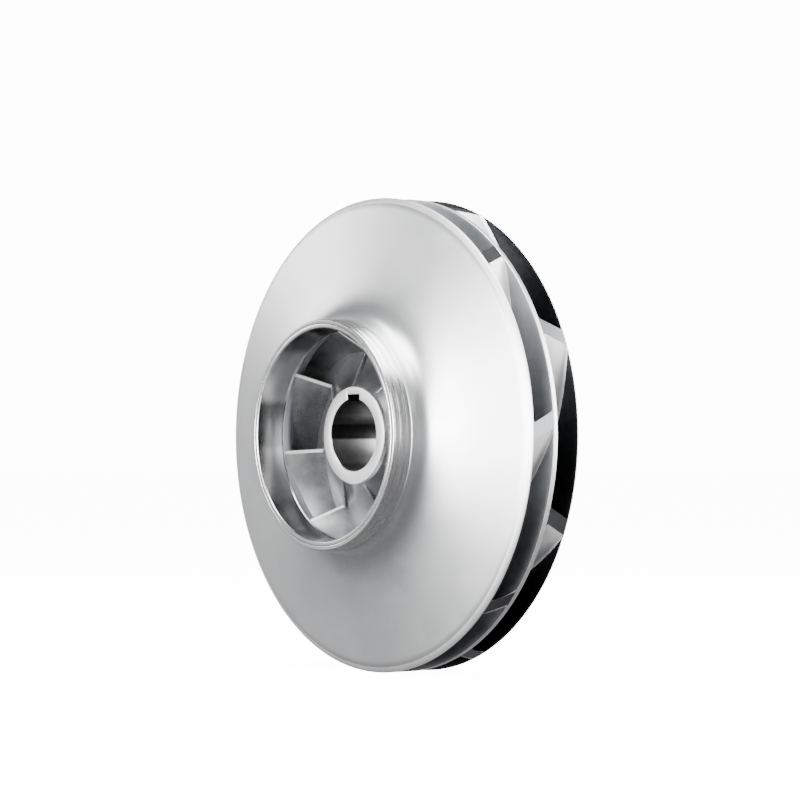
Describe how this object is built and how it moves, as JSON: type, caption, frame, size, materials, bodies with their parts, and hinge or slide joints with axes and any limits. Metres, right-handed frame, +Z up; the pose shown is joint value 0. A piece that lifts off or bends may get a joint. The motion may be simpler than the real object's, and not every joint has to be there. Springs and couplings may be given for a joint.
{
  "type": "closed double-entry pump impeller",
  "caption": "Closed double-entry centrifugal pump impeller with a keyed hub, a centre web between two rows of backward-curved vanes, bell-shaped shrouds and eye wear rings.",
  "frame": {"origin": "middle of the shaft bore, in the plane of the centre web", "axes": "+Y along the shaft from the front eye to the rear eye, +Z up through the middle of the keyway"},
  "size_m": [0.4, 0.1646, 0.4],
  "materials": {
    "cast_steel": "smooth cast and polished",
    "turned_steel": "fine turned satin",
    "machined_steel": "machined bright"
  },
  "bodies": {
    "root": {"hub": "machined_steel", "centre_web": "cast_steel", "front_shroud": "turned_steel", "rear_shroud": "turned_steel", "front_wear_ring": "machined_steel", "rear_wear_ring": "machined_steel", "front_vane_1": "cast_steel", "front_vane_2": "cast_steel", "front_vane_3": "cast_steel", "front_vane_4": "cast_steel", "front_vane_5": "cast_steel", "front_vane_6": "cast_steel", "front_vane_7": "cast_steel", "front_vane_8": "cast_steel", "rear_vane_1": "cast_steel", "rear_vane_2": "cast_steel", "rear_vane_3": "cast_steel", "rear_vane_4": "cast_steel", "rear_vane_5": "cast_steel", "rear_vane_6": "cast_steel", "rear_vane_7": "cast_steel", "rear_vane_8": "cast_steel"}
  },
  "joints": []
}
